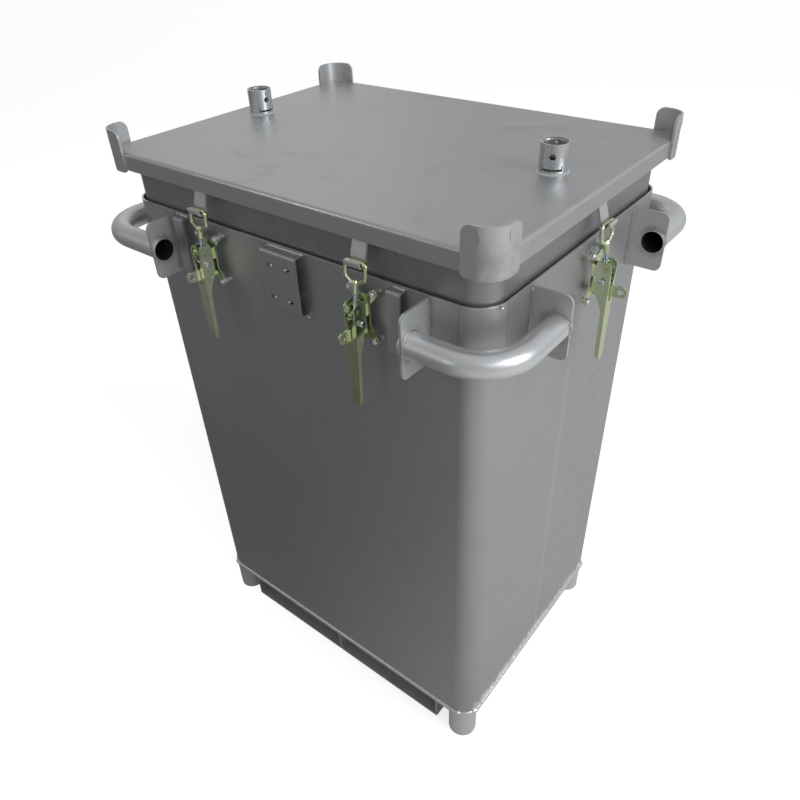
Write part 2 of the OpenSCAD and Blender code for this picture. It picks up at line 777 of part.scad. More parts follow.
// Leg of a corner guide in (along, up), its free upper and lower corners rounded
module guide_leg_outline(len, h) {
    lower_r = guide_r / 2;
    square([len - guide_r, h]);
    translate([0, lower_r]) square([len, h - guide_r - lower_r]);
    translate([len - guide_r, h - guide_r]) circle(guide_r);
    square([len - lower_r, lower_r + 1]);
    translate([len - lower_r, lower_r]) circle(lower_r);
}

// Each guide is a sheet bent round a corner of the rim, which keeps a stacked box in place
module corner_guides() {
    r = rim_corner_r + guide_sheet;
    h = guide_rise + rim_h + guide_drop;
    leg = guide_leg + guide_sheet - r;
    color(steel) for (x = [0, 1], y = [0, 1]) mirror([x, 0, 0]) mirror([0, y, 0])
        translate([lid_len / 2 - rim_corner_r, lid_width / 2 - rim_corner_r, rim_bottom_z - guide_drop]) {
            rotate_extrude(angle = 90) translate([rim_corner_r, 0]) square([guide_sheet, h]);
            translate([0, r, 0]) rotate([90, 0, 0]) mirror([1, 0, 0])
                linear_extrude(guide_sheet) guide_leg_outline(leg, h);
            translate([r - guide_sheet, 0, 0]) rotate([90, 0, 90]) mirror([1, 0, 0])
                linear_extrude(guide_sheet) guide_leg_outline(leg, h);
        }
}

// Hook strip in (out, up): a leaning leg from inside the rim, a curl under the bar and a lip
module hook_section() {
    u = hook_mid_out;
    z = hook_mid_up;
    t = hook_sheet;
    weld_up = rim_up + rim_h - lid_sheet - 7;
    difference() {
        translate([u, z]) circle(hook_r + t);
        translate([u, z]) circle(hook_r);
        translate([u - hook_r - t - 1, z]) square([2 * (hook_r + t + 1), hook_r + t + 1]);
    }
    translate([u + hook_r, z - eps]) square([t, hook_lip]);
    translate([u + hook_r + t / 2, z + hook_lip]) circle(t / 2);
    polygon([[u - hook_r - t, z - eps], [u - hook_r, z - eps], [u - hook_r, z + 3.8],
        [rim_in_out, rim_up], [rim_in_out, weld_up], [rim_in_out - t, weld_up],
        [rim_in_out - t, rim_up - 0.6], [u - hook_r - t, z + 3.2]]);
}

module latch_hooks() {
    color(steel) for (i = [0:5]) at_latch(i) along_wall(hook_w) hook_section();
}

// Vents

module at_vent(x, turn) {
    translate([x, vent_y, lid_top_z]) rotate(turn) children();
}

// Round vent: a narrow bore below the valve's seat, a groove near the top, a wider
// mouth, a cross hole with a pin hole over it, and two base slots with raised ends
module vent(x, turn) {
    r = vent_d / 2;
    bore = r - vent_wall;
    through = vent_d + 4;
    slot_in = bore - vent_seat_w - 1;
    slot_through = vent_wall + vent_seat_w + 2;
    end_w = 1.8;
    color(steel) at_vent(x, turn) difference() {
        cylinder(r = r, h = vent_h);
        translate([0, 0, -1]) cylinder(r = bore - vent_seat_w, h = vent_h + 2);
        translate([0, 0, vent_seat_up]) cylinder(r = bore, h = vent_h - vent_mouth - 2 - vent_seat_up);
        translate([0, 0, vent_h - vent_mouth]) cylinder(r = bore + vent_wall / 3, h = vent_mouth + 1);
        translate([0, 0, vent_h * 0.6]) rotate([90, 0, 0])
            cylinder(d = vent_hole_d, h = through, center = true);
        translate([0, 0, vent_h * 0.83]) rotate([90, 0, 0])
            cylinder(d = vent_hole_d * 0.35, h = through, center = true);
        for (s = [0, 180]) rotate(s) {
            rotate(-90 - vent_slot_turn) rotate_extrude(angle = 2 * vent_slot_turn)
                translate([slot_in, vent_slot_up]) square([slot_through, vent_slot_h]);
            for (m = [-1, 1]) rotate(-90 + m * vent_slot_turn) translate([slot_in, -end_w / 2, vent_slot_up])
                cube([slot_through, end_w, 2.2 * vent_slot_h]);
        }
    }
}

module vent_flanges() {
    color(steel) for (x = [vent_left_x, vent_right_x]) at_vent(x, 0) difference() {
        cylinder(d1 = vent_d + 2 * vent_flange_w, d2 = vent_d + 1, h = vent_slot_up - 3);
        translate([0, 0, -1]) cylinder(d = vent_d + 2 * weld_fit, h = vent_slot_up);
    }
}

// Valve disc that sits on the step inside each vent
module vent_valves() {
    seat_r = vent_d / 2 - vent_wall - 0.2;
    color([0.35, 0.36, 0.37]) for (x = [vent_left_x, vent_right_x]) at_vent(x, 0)
        translate([0, 0, vent_seat_up]) {
            cylinder(r = seat_r, h = 4);
            cylinder(r = seat_r * 0.45, h = 9);
        }
}

body_shell();
floor_plate();
collar_band();
fork_pocket(-1);  // fork_pocket_left
fork_pocket(1);  // fork_pocket_right
foot(-1, -1);  // foot_front_left
foot(1, -1);  // foot_front_right
foot(-1, 1);  // foot_rear_left
foot(1, 1);  // foot_rear_right
foot_plates();
handle(1, 0, handle_wide_x);  // handle_front_left
handle(0, 0, handle_short_x);  // handle_front_right
handle(1, 1, handle_short_x);  // handle_rear_left
handle(0, 1, handle_wide_x);  // handle_rear_right
handle_plates(1, 0, handle_wide_x);  // handle_plates_front_left
handle_plates(0, 0, handle_short_x);  // handle_plates_front_right
handle_plates(1, 1, handle_short_x);  // handle_plates_rear_left
handle_plates(0, 1, handle_wide_x);  // handle_plates_rear_right
slotted_bracket();
bracket_studs();
strap_loop(loop_left_x);  // strap_loop_left
strap_loop(loop_right_x);  // strap_loop_right
latch_studs();
latch_nuts();
latch_rivets();
latch_base(0);  // latch_base_front_left
latch_base(1);  // latch_base_front_right
latch_base(2);  // latch_base_rear_right
latch_base(3);  // latch_base_rear_left
latch_base(4);  // latch_base_right
latch_base(5);  // latch_base_left
lever(0);  // lever_front_left
lever(1);  // lever_front_right
lever(2);  // lever_rear_right
lever(3);  // lever_rear_left
lever(4);  // lever_right
lever(5);  // lever_left
bow(0);  // bow_front_left
bow(1);  // bow_front_right
bow(2);  // bow_rear_right
bow(3);  // bow_rear_left
bow(4);  // bow_right
bow(5);  // bow_left
stem(0);  // stem_front_left
stem(1);  // stem_front_right
stem(2);  // stem_rear_right
stem(3);  // stem_rear_left
stem(4);  // stem_right
stem(5);  // stem_left
lid_pan();
lid_skirt();
lid_gasket();
corner_guides();
latch_hooks();
vent(vent_left_x, vent_left_turn);  // vent_left
vent(vent_right_x, vent_right_turn);  // vent_right
vent_flanges();
vent_valves();
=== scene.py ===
# %% [markdown]
# # A stainless steel battery transport box, dressed
#
# The box comes in as a fixed frame of finished solids: walls, lid, handles and
# latches already have their true shape. What is left to do here is what a
# welder and a plating shop leave behind: beads, ground seams, threads, heat
# tint, the grain of rolled sheet and the colour of passivated zinc.

# %% Load the frame
import math
import random

import bmesh
import bpy
from mathutils import Matrix, Quaternion, Vector


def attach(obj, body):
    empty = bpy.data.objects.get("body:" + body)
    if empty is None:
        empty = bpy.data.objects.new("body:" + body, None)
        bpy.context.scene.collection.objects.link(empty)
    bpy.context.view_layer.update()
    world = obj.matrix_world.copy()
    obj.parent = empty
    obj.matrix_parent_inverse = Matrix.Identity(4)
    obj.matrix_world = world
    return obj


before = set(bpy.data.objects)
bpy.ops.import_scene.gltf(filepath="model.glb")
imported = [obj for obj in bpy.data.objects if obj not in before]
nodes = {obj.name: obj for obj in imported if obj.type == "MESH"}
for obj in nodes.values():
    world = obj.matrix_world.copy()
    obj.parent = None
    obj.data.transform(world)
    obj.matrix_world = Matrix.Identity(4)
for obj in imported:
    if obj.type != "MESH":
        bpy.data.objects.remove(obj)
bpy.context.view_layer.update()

print("nodes in the frame:", len(nodes))

# %% [markdown]
# ## The camera
#
# The box stands taller than it looks, because it is seen from above eye level
# with a short lens. The lens is set by its focal length for a 36 mm sensor,
# and the camera is turned by azimuth, elevation and a small roll, so that the
# verticals converge downwards as in the picture.

# %% Place the camera
AZIMUTH, ELEVATION, ROLL = (math.radians(a) for a in (39.31, 36.61, -2.30))
level_part = math.cos(ELEVATION)
back = Vector((math.sin(AZIMUTH) * level_part, -math.cos(AZIMUTH) * level_part, math.sin(ELEVATION)))
camera = bpy.data.objects.new("camera", bpy.data.cameras.new("camera"))
camera.data.sensor_width = 36.0
camera.data.lens = 31.66
camera.location = (0.79018, -0.96735, 1.53836)
camera.rotation_mode = "QUATERNION"
camera.rotation_quaternion = (-back).to_track_quat("-Z", "Y") @ Quaternion((0, 0, 1), ROLL)
bpy.context.collection.objects.link(camera)
bpy.context.scene.camera = camera
print("camera at", tuple(round(c, 3) for c in camera.location))

# %% [markdown]
# ## Arithmetic for shaders
#
# A procedural finish is a sum of small effects. Written as nodes it is hard to
# read, so one small class wraps an output socket and lets Python's own
# operators add the Math nodes. A second class holds a material and makes every
# other node from its type, its settings and its inputs.

# %% The two helper classes
class Wire:
    """An output socket that takes part in arithmetic."""

    def __init__(self, finish, socket):
        self.finish, self.socket = finish, socket

    def math(self, operation, first, second):
        return self.finish.node("ShaderNodeMath", {"operation": operation}, {0: first, 1: second})

    def __add__(self, other):
        return self.math("ADD", self, other)

    def __radd__(self, other):
        return self.math("ADD", other, self)

    def __sub__(self, other):
        return self.math("SUBTRACT", self, other)

    def __rsub__(self, other):
        return self.math("SUBTRACT", other, self)

    def __mul__(self, other):
        return self.math("MULTIPLY", self, other)

    def __rmul__(self, other):
        return self.math("MULTIPLY", other, self)

    def __pow__(self, other):
        return self.math("POWER", self, other)

    def __abs__(self):
        return self.math("ABSOLUTE", self, 0.0)


class Finish:
    """A node material, or the room's own nodes, under construction."""

    def __init__(self, name, makes=bpy.data.materials, output="ShaderNodeOutputMaterial", place="Object"):
        self.material = makes.new(name)
        self.material.use_nodes = True
        self.tree = self.material.node_tree
        self.tree.nodes.clear()
        self.output = self.tree.nodes.new(output)
        self.place = self.node("ShaderNodeTexCoord", {}, {}, place)

    def node(self, kind, settings, values, out=0):
        made = self.tree.nodes.new(kind)
        for key, value in settings.items():
            if key == "stops":
                ramp = made.color_ramp
                while len(ramp.elements) < len(value):
                    ramp.elements.new(0.5)
                for element, (at, colour) in zip(ramp.elements, value):
                    element.position, element.color = at, (*colour, 1.0)
            else:
                setattr(made, key, value)
        for key, value in values.items():
            if isinstance(value, Wire):
                self.tree.links.new(value.socket, made.inputs[key])
            else:
                made.inputs[key].default_value = value
        return Wire(self, made.outputs[out])

    def axis(self, name):
        return self.node("ShaderNodeSeparateXYZ", {}, {0: self.place}, name)

    def noise(self, scale, detail=3.0, roughness=0.55, stretch=(1, 1, 1), distortion=0.0):
        at = self.node("ShaderNodeMapping", {}, {"Vector": self.place, "Scale": stretch})
        return self.node("ShaderNodeTexNoise", {}, {"Vector": at, "Scale": scale, "Detail": detail,
                                                    "Roughness": roughness, "Distortion": distortion})

    def ramp(self, value, low, high, to_low=0.0, to_high=1.0):
        return self.node("ShaderNodeMapRange", {"interpolation_type": "SMOOTHSTEP"},
                         {"Value": value, "From Min": low, "From Max": high, "To Min": to_low, "To Max": to_high})

    def band(self, value, centre, half, soft):
        """1 where value is within half of centre, falling to 0 over soft"""
        return self.ramp(abs(value - centre), half, half + soft, 1.0, 0.0)

    def mix(self, factor, a, b, blend="MIX"):
        return self.node("ShaderNodeMix", {"data_type": "RGBA", "blend_type": blend}, {0: factor, 6: a, 7: b}, 2)

    def bump(self, height, strength, distance):
        return self.node("ShaderNodeBump", {}, {"Strength": strength, "Distance": distance, "Height": height})

    def done(self, **values):
        shader = self.node("ShaderNodeBsdfPrincipled", {}, {k.replace("_", " "): v for k, v in values.items()})
        self.tree.links.new(shader.socket, self.output.inputs["Surface"])
        return self.material


def grey(level, warm=0.0):
    return (level * (1 + warm), level, level * (1 - warm), 1.0)


print("helpers ready")

# %% [markdown]
# ## Pickled stainless sheet
#
# Rolled and pickled stainless is a soft grey metal with three scales of
# detail: slow clouds from the pickling bath, hand marks and smudges, and a
# fine rolling grain that runs one way. The grain is noise on coordinates that
# are stretched along one axis. Each sheet runs its own way, so the stretch is
# a parameter, and so are the level and the roughness.

# %% Steel sheet
UPRIGHT, ALONG_X, ALONG_Y, NO_GRAIN = (1, 1, 0.03), (0.03, 1, 1), (1, 0.03, 1), (1, 1, 1)
SHEET_METAL = 0.75


def steel_sheet(name, level, rough, grain=UPRIGHT, extra=None, clouds=0.07, smudges=0.05, metal=SHEET_METAL):
    """extra lays marks over colour and roughness, and may return a metallic value as well"""
    f = Finish(name)
    cloud = f.noise(2.6, 4.0, 0.6)
    smudge = f.ramp(f.noise(9.0, 6.0, 0.65, distortion=0.8), 0.52, 0.75)
    streak = f.noise(420.0, 2.0, 0.5, stretch=grain)
    fine = f.noise(1500.0, 1.0, 0.5)
    tone = 1.0 + (cloud - 0.5) * (2 * clouds) - smudge * smudges + (streak - 0.5) * 0.10
    colour = f.mix(1.0, grey(level, -0.010), f.node("ShaderNodeCombineColor", {}, {0: tone, 1: tone, 2: tone}),
                   "MULTIPLY")
    roughness = rough + (cloud - 0.5) * 0.10 + smudge * 0.06 + (streak - 0.5) * 0.10
    height = streak * 0.6 + fine * 0.4
    if extra:
        colour, roughness, metal = (*extra(f, colour, roughness), metal)[:3]
    return f.done(Base_Color=colour, Metallic=metal, Roughness=roughness,
                  Normal=f.bump(height, 0.12, 0.0004))


# %% [markdown]
# ## Where marks lie
#
# A mark on the box is a mask: a number from 0 to 1 at each point, worked out
# from the object's own coordinates, so that it stays where the real one is.
# The masks need a few of the box's own sizes, in metres, and three questions:
# how near is the weld of a handle plate, is this where a corner starts to
# bend, and how far is the middle line of a handle tube.

# %% Sizes of the box, and three questions
WALL_L, WALL_W, WALL_R, FLOOR_Z = 0.756, 0.556, 0.040, 0.090
COLLAR_L, COLLAR_W, COLLAR_R = 0.772, 0.572, 0.048
COLLAR_LOW, COLLAR_MID, COLLAR_TOP = 0.972, 1.028, 1.084
PLATE_WIDE, PLATE_SHORT, PLATE_Y = 0.259, 0.287, 0.172
TUBE_X, TUBE_Y, TUBE_R = 0.428, 0.328, 0.020


def near_plates(f):
    """1 beside the handle plates' welds: one corner pair has its long plate further out"""
    x, y = f.axis("X"), f.axis("Y")
    broken = f.ramp(f.noise(38.0, 4.0, 0.7), 0.36, 0.62)
    across = f.ramp(x * y, -0.00001, 0.00001, PLATE_SHORT, PLATE_WIDE)
    on_front = f.band(abs(x), across, 0.004, 0.009) * f.ramp(abs(y), COLLAR_W / 2 - 0.006, COLLAR_W / 2 - 0.002)
    on_side = f.band(abs(y), PLATE_Y, 0.004, 0.009) * f.ramp(abs(x), COLLAR_L / 2 - 0.006, COLLAR_L / 2 - 0.002)
    return (on_front + on_side) * broken


def bend_shade_lines(f, length, width, r):
    """painted shade: 1 along the fine upright lines where a rounded corner starts to curve"""
    lines = None
    for across, half, out, far in (("X", length / 2, "Y", width / 2), ("Y", width / 2, "X", length / 2)):
        # painted shade: a thin dark line where each rounded corner starts to curve
        line = f.band(abs(f.axis(across)), half - r, 0.0006, 0.0012)
        line = line * f.ramp(abs(f.axis(out)), far - 0.006, far - 0.004)
        lines = lines + line if lines else line
    return lines


def from_tubes(f):
    """distances from the tubes' middle lines: of the runs along X, then of the runs along Y"""
    x, y, z = abs(f.axis("X")), abs(f.axis("Y")), f.axis("Z") - COLLAR_MID
    return ((y - TUBE_Y) ** 2.0 + z ** 2.0) ** 0.5, ((x - TUBE_X) ** 2.0 + z ** 2.0) ** 0.5


print("wall %.3f x %.3f m, collar %.3f x %.3f m" % (WALL_L, WALL_W, COLLAR_L, COLLAR_W))

# %% [markdown]
# ## Marks on handles and guides
#
# Beside each weld the steel keeps a straw and brown tint that the pickling
# bath didn't take off. Round the tubes it follows the distance from their
# middle lines, broken up by noise. The bore of a tube is never cleaned, so it
# stays dull and dark.

# %% Marks on plates and guides, and painted shade in the tubes
TINT = (0.26, 0.205, 0.16, 1.0)


def plate_marks(f, colour, roughness):
    """brown tint round each tube, where it is welded through its plate"""
    x_run, y_run = from_tubes(f)
    tint = (f.ramp(x_run, 0.034, 0.022) * f.ramp(abs(f.axis("X")), 0.32, 0.30)
            + f.ramp(y_run, 0.034, 0.022) * f.ramp(abs(f.axis("Y")), 0.22, 0.20))
    tint = tint * f.ramp(f.noise(55.0, 4.0, 0.7), 0.30, 0.62)
    return f.mix(tint * 0.55, colour, TINT), roughness + tint * 0.08


def tube_bore_shade(f, colour, roughness):
    """painted shade: the inside of each tube is painted dark, and made duller"""
    x_run, y_run = from_tubes(f)
    # painted shade: the inside of each tube is painted near black and made rougher
    bore_shade = (f.ramp(x_run, 0.0193, 0.0189) * f.ramp(abs(f.axis("X")), 0.345, 0.335)
            + f.ramp(y_run, 0.0193, 0.0189) * f.ramp(abs(f.axis("Y")), 0.245, 0.235))
    return f.mix(bore_shade, colour, grey(0.055)), roughness + bore_shade * 0.3


def guide_marks(f, colour, roughness):
    """heat tint low on the corner guides, above their welds, and on their cut edges"""
    low = f.ramp(f.axis("Z") + f.noise(40.0, 4.0, 0.7) * 0.03, 1.215, 1.180)
    edge = f.ramp(f.axis("Z"), 1.207, 1.213)
    tint = (low + edge * 0.7) * f.ramp(f.noise(26.0, 4.0, 0.7), 0.34, 0.62)
    return f.mix(tint * 0.36, colour, TINT), roughness + tint * 0.08


print("marks for plates, tubes and guides ready")

# %% [markdown]
# ## Marks on wall, collar, skirt and lid
#
# The right wall carries one upright seam that was ground flush: a paler,
# smoother strip down its middle. Along its foot it is painted near white in
# patches that fade upward beside the floor's bead. Wall and collar have
# painted shade in fine lines where their corners start to curve, and the
# collar has a bright upper lip. The skirt has blotches of the pickling paste,
# and the lid has a painted highlight where its top bends into the rim.

# %% Marks on the big sheets
SEAM_Y, SEAM_HALF = 0.004, 0.0030
BEND_Z = 1.1682


def collar_marks_and_shade(f, colour, roughness):
    tint = near_plates(f)
    lip = f.ramp(f.axis("Z"), COLLAR_TOP - 0.0015, COLLAR_TOP - 0.0005)
    lines = bend_shade_lines(f, COLLAR_L, COLLAR_W, COLLAR_R)
    # painted shade in the corner lines, laid over the real heat tint
    colour = f.mix(lines * 0.35, f.mix(tint * 0.6, colour, TINT), grey(0.16))
    return f.mix(lip * 0.4, colour, grey(0.80)), roughness + tint * 0.1 - lip * 0.15


def wall_marks_and_shade(f, colour, roughness):
    right = f.ramp(f.axis("X"), WALL_L / 2 - 0.008, WALL_L / 2 - 0.004)
    seam = f.band(f.axis("Y"), SEAM_Y, SEAM_HALF, 0.008) * right
    lines = bend_shade_lines(f, WALL_L, WALL_W, WALL_R)
    # painted shade in the corner lines, faint on the wall
    colour = f.mix(lines * 0.08, colour, grey(0.18))
    # patches painted near white along the right wall's foot, fading upward, made smoother and less metallic
    low = f.ramp(f.axis("Z") + f.noise(75.0, 6.0, 0.8, stretch=(1, 1, 0.6)) * -0.110, 0.060, 0.034)
    ground = low * f.ramp(abs(f.axis("X")), WALL_L / 2 - 0.006, WALL_L / 2 - 0.002)
    colour = f.mix(ground * 0.75, f.mix(seam * 0.07, colour, grey(0.70)), grey(1.0))
    return colour, roughness - seam * 0.05 - ground * 0.08, SHEET_METAL - ground * 0.45


def skirt_marks(f, colour, roughness):
    """dark blotches that the pickling paste left"""
    blotch = f.ramp(f.noise(24.0, 5.0, 0.65, distortion=0.6), 0.56, 0.74)
    return f.mix(blotch * 0.45, colour, (0.17, 0.16, 0.155, 1.0)), roughness + blotch * 0.06


def lid_spots_and_highlight(f, colour, roughness):
    """painted highlight: a bright band where the top bends into the rim"""
    # painted highlight: a bright, smoother band along the bend from the top into the rim
    bend_highlight = f.band(f.axis("Z"), BEND_Z, 0.0014, 0.0022)
    spots = f.ramp(f.noise(60.0, 3.0, 0.6), 0.70, 0.78)
    return f.mix(bend_highlight * 0.22, f.mix(spots * 0.25, colour, grey(0.12)), grey(0.85)), roughness - bend_highlight * 0.12


print("marks for wall, collar, skirt and lid ready")

# %% Make the sheet finishes
wall_steel = steel_sheet("wall_steel", 0.40, 0.44, UPRIGHT, wall_marks_and_shade)
collar_steel = steel_sheet("collar_steel", 0.40, 0.42, UPRIGHT, collar_marks_and_shade, clouds=0.12, smudges=0.14)
lid_steel = steel_sheet("lid_steel", 0.46, 0.40, ALONG_X, lid_spots_and_highlight, clouds=0.09, smudges=0.10)
skirt_steel = steel_sheet("skirt_steel", 0.31, 0.40, UPRIGHT, skirt_marks, clouds=0.12)
plate_steel = steel_sheet("plate_steel", 0.58, 0.38, NO_GRAIN, plate_marks, clouds=0.12, smudges=0.12, metal=0.65)
guide_steel = steel_sheet("guide_steel", 0.54, 0.40, NO_GRAIN, guide_marks, clouds=0.12, smudges=0.12, metal=0.7)
tube_steel = steel_sheet("tube_steel", 0.66, 0.36, NO_GRAIN, tube_bore_shade, clouds=0.09, smudges=0.14)
foot_steel = steel_sheet("foot_steel", 0.62, 0.44, NO_GRAIN, clouds=0.10, metal=0.6)
pocket_steel = steel_sheet("pocket_steel", 0.40, 0.46, ALONG_Y, clouds=0.16, smudges=0.15, metal=0.4)
fitting_steel = steel_sheet("fitting_steel", 0.60, 0.26, NO_GRAIN, clouds=0.03, smudges=0.02)
print("sheet finishes ready")

# %% [markdown]
# ## Passivated zinc, rubber and the weld metal
#
# Yellow passivated zinc is a bright metal under a thin film. Its colour drifts
# between olive yellow, green and a little pink with the film's thickness, so
# a slow noise drives a colour ramp. The trunnions and stems are blue-white
# passivated. Weld metal is brighter and rougher than the sheet round it, with
# darker flecks of scale.

# %% Zinc, rubber, bead and valve
def zinc(name, stops, rough):
    f = Finish(name)
    film = f.noise(14.0, 2.0, 0.4, distortion=0.4)
    colour = f.node("ShaderNodeValToRGB", {"stops": stops}, {0: film}, "Color")
    scuff = f.ramp(f.noise(180.0, 4.0, 0.6), 0.55, 0.75)
    return f.done(Base_Color=f.mix(scuff * 0.12, colour, grey(0.75)), Metallic=0.96,
                  Roughness=rough + scuff * 0.10, Normal=f.bump(f.noise(900.0), 0.08, 0.0003))


def weld_metal(name, level, rough):
    f = Finish(name)
    flecks = f.ramp(f.noise(260.0, 4.0, 0.7), 0.55, 0.72)
    colour = f.mix(flecks * 0.5, grey(level), (0.24, 0.21, 0.19, 1.0))
    return f.done(Base_Color=colour, Metallic=0.85, Roughness=rough + flecks * 0.25,
                  Normal=f.bump(f.noise(600.0, 4.0, 0.7), 0.5, 0.0006))


def rubber(name):
    f = Finish(name)
    bloom = f.noise(30.0, 5.0, 0.6)
    return f.done(Base_Color=f.mix(bloom * 0.5, grey(0.012), grey(0.05)), Roughness=0.62 + bloom * 0.2,
                  Normal=f.bump(f.noise(900.0), 0.2, 0.0003))


yellow_zinc = zinc("yellow_zinc", [(0.24, (0.46, 0.56, 0.32)), (0.42, (0.70, 0.68, 0.44)), (0.54, (0.60, 0.70, 0.46)),
                                   (0.66, (0.80, 0.80, 0.60)), (0.78, (0.74, 0.64, 0.48))], 0.15)
blue_zinc = zinc("blue_zinc", [(0.3, (0.42, 0.53, 0.62)), (0.7, (0.58, 0.64, 0.68))], 0.18)
bead_steel = weld_metal("bead_steel", 0.72, 0.32)
root_bead = weld_metal("root_bead", 0.40, 0.40)
gasket_rubber = rubber("gasket_rubber")
valve_steel = steel_sheet("valve_steel", 0.16, 0.6, NO_GRAIN)
print("zinc, bead, rubber and valve ready")

# %% [markdown]
# ## Finishes on the frame's own nodes
#
# The shapes from the frame stay as they are. Each node only gets its finish in
# its material slots, by the start of its name.

# %% Hand out the finishes
FINISH_BY_NAME = [
    ("body_shell", wall_steel), ("floor_plate", plate_steel), ("collar_band", collar_steel),
    ("fork_pocket", pocket_steel), ("foot_plates", foot_steel), ("foot_", foot_steel),
    ("handle_plates", plate_steel), ("handle_", tube_steel), ("slotted_bracket", collar_steel),
    ("bracket_studs", fitting_steel), ("strap_loop", collar_steel), ("latch_studs", fitting_steel),
    ("latch_nuts", fitting_steel), ("latch_rivets", yellow_zinc), ("latch_base", yellow_zinc),
    ("lever_", yellow_zinc), ("bow_", yellow_zinc), ("stem_", blue_zinc), ("lid_pan", lid_steel),
    ("lid_skirt", skirt_steel), ("lid_gasket", gasket_rubber), ("corner_guides", guide_steel),
    ("latch_hooks", plate_steel), ("vent_left", fitting_steel), ("vent_right", fitting_steel),
    ("vent_flanges", plate_steel), ("vent_valves", valve_steel),
]
for name, piece in nodes.items():
    finish = next(m for start, m in FINISH_BY_NAME if name.startswith(start))
    if not piece.material_slots:
        piece.data.materials.append(finish)
    for held in piece.material_slots:
        held.material = finish
print("finishes given to", len(nodes), "nodes")

# %% [markdown]
# ## Weld beads
#
# A hand-laid bead is a half-round cord with a ripple for each dip of the rod,
# sunk into the corner that it fills. It is made by carrying a small ring of
# vertices along a path: at each station the ring's edges are extruded, and the
# new ring is moved, turned and scaled into its place. The ripple and a little
# seeded wander in the radius keep it from looking like a wire.

# %% Paths for the beads
STATION = 0.0022
CORNERS = ((1, 1), (-1, 1), (-1, -1), (1, -1))


def run(a, b):
    """stations on a straight line"""
    a, b = Vector(a), Vector(b)
    count = max(2, round((b - a).length / STATION))
    return [a.lerp(b, k / count) for k in range(count + 1)]


def turn(centre, radius, start, end, across=(1, 0, 0), up=(0, 1, 0)):
    """stations on an arc, in degrees from across towards up"""
    centre, across, up = Vector(centre), Vector(across), Vector(up)
    count = max(3, round(math.radians(abs(end - start)) * radius / STATION))
    angles = [math.radians(start + (end - start) * k / count) for k in range(count + 1)]
    return [centre + radius * (math.cos(t) * across + math.sin(t) * up) for t in angles]


def loop(length, width, radius, z):
    """stations once round a rounded rectangle, its first one repeated at the end"""
    x, y = length / 2 - radius, width / 2 - radius
    path = []
    for k, (sx, sy) in enumerate(CORNERS):
        next_x, next_y = CORNERS[(k + 1) % 4]
        path += turn((sx * x, sy * y, z), radius, 90 * k, 90 * k + 90)
        out = Vector(((0, 1, 0), (-1, 0, 0), (0, -1, 0), (1, 0, 0))[k])
        path += run(Vector((sx * x, sy * y, z)) + radius * out,
                    Vector((next_x * x, next_y * y, z)) + radius * out)[1:-1]
    return path + path[:1]


print("stations of the floor's bead:", len(loop(WALL_L, WALL_W, WALL_R, FLOOR_Z)))

# %% Carry a ring along a path
RING = 8
RIPPLE = 0.0052


def settle(name, bm, body, finish):
    """turns a bmesh into a piece of the box that rides on a body"""
    mesh = bpy.data.meshes.new(name)
    bm.to_mesh(mesh)
    bm.free()
    piece = bpy.data.objects.new(name, mesh)
    bpy.context.collection.objects.link(piece)
    mesh.materials.append(finish)
    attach(piece, body)
    print(name, len(mesh.polygons), "faces")
    return piece


def edges_within(ring):
    return list({e for v in ring for e in v.link_edges if e.other_vert(v) in ring})


def beads(name, body, paths, radius, finish=bead_steel, ripple=0.16, seed=1):
    """one piece of several beads, each on its own path"""
    draw = random.Random(seed)
    bm = bmesh.new()
    for path in paths:
        ring = bmesh.ops.create_circle(bm, segments=RING, radius=1.0, cap_ends=False)["verts"]
        bm.faces.new(ring)
        placed = Matrix.Identity(4)
        travelled, wander = 0.0, 0.0
        for k, point in enumerate(path):
            ahead, behind = path[min(k + 1, len(path) - 1)], path[max(k - 1, 0)]
            along = (ahead - behind).normalized()
            guide = Vector((0, 0, 1)) if abs(along.z) < 0.9 else Vector((0, 1, 0))
            side = along.cross(guide).normalized()
            if k:
                travelled += (point - path[k - 1]).length
            wander += draw.uniform(-0.05, 0.05) - 0.25 * wander
            size = radius * (1 + ripple * (abs(math.sin(math.pi * travelled / RIPPLE)) - 0.6) + wander)
            size *= 0.55 if k in (0, len(path) - 1) and (path[0] - path[-1]).length > 1e-6 else 1.0
            target = Matrix.Translation(point) @ Matrix((
                (side.x, along.cross(side).x, along.x, 0), (side.y, along.cross(side).y, along.y, 0),
                (side.z, along.cross(side).z, along.z, 0), (0, 0, 0, 1))) @ Matrix.Scale(size, 4)
            if k == 0:
                bmesh.ops.transform(bm, matrix=target, verts=ring)
            else:
                made = bmesh.ops.extrude_edge_only(bm, edges=edges_within(ring))["geom"]
                ring = [v for v in made if isinstance(v, bmesh.types.BMVert)]
                bmesh.ops.transform(bm, matrix=target @ placed.inverted(), verts=ring)
            placed = target
        bmesh.ops.edgeloop_fill(bm, edges=edges_within(ring))
    bmesh.ops.recalc_face_normals(bm, faces=bm.faces)
    for face in bm.faces:
        face.smooth = True
    return settle(name, bm, body, finish)


print("each bead is a ring of", RING, "vertices, moved on by", STATION, "m")

# %% [markdown]
# ## Where the beads run
#
# The longest bead joins the wall to the floor plate all round. Each handle
# plate has a bead up both of its faces at the collar, and each tube one round
# it where it passes the plate. Bracket and strap loops are welded along their
# upper and lower edges, the feet round their tops, and the corner guides
# along the lid's bend.

# %% Beads at the floor and the collar's foot
beads("floor_bead", "box", [loop(WALL_L, WALL_W, WALL_R, FLOOR_Z)], 0.0036, seed=3)

side_x, side_y = WALL_L / 2 + 0.0005, WALL_W / 2 - WALL_R
second_pass = [run((sx * side_x, -side_y + 0.01, FLOOR_Z + 0.002), (sx * side_x, side_y - 0.01, FLOOR_Z + 0.002))
               for sx in (-1, 1)]
beads("side_floor_beads", "box", second_pass, 0.0042, ripple=0.30, seed=23)

